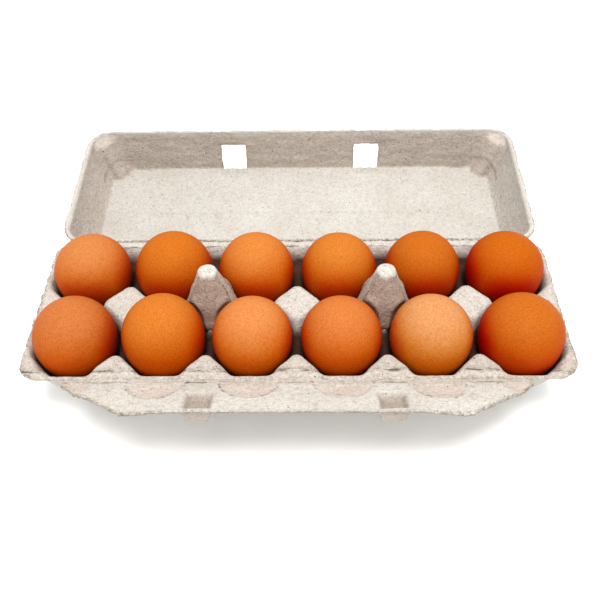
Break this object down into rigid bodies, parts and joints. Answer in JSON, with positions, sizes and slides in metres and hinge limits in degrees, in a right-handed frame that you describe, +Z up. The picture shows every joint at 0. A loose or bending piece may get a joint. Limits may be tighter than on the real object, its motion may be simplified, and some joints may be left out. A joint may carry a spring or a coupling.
{
  "type": "open egg carton with eggs",
  "caption": "Moulded pulp egg carton with brown eggs in its cups, its lid hinged open behind and its lock flap leaning out in front.",
  "frame": {"origin": "on the surface it stands on, under the middle of the whole open carton", "axes": "+X to the carton's right along its long side, +Y from the lock flap towards the open lid, +Z up"},
  "size_m": [0.294, 0.2376, 0.0616],
  "materials": {
    "pulp": "matte rough moulded paper pulp with dark flecks",
    "eggshell": "satin brown eggshell with fine pores"
  },
  "bodies": {
    "tray": {"tray": "pulp", "egg_front_1": "eggshell", "egg_front_2": "eggshell", "egg_front_3": "eggshell", "egg_front_4": "eggshell", "egg_front_5": "eggshell", "egg_front_6": "eggshell", "egg_back_1": "eggshell", "egg_back_2": "eggshell", "egg_back_3": "eggshell", "egg_back_4": "eggshell", "egg_back_5": "eggshell", "egg_back_6": "eggshell"},
    "lid": {"lid": "pulp"},
    "flap": {"flap": "pulp"}
  },
  "joints": [
    {"name": "lid_hinge", "type": "hinge", "parent": "tray", "child": "lid", "pos_m": [0, 0.01301, 0.0342], "axis": [1, 0, 0], "range_deg": [0, 175.5]},
    {"name": "flap_hinge", "type": "hinge", "parent": "tray", "child": "flap", "pos_m": [0, -0.08959, 0.0332], "axis": [-1, 0, 0], "range_deg": [-60, 78]}
  ]
}
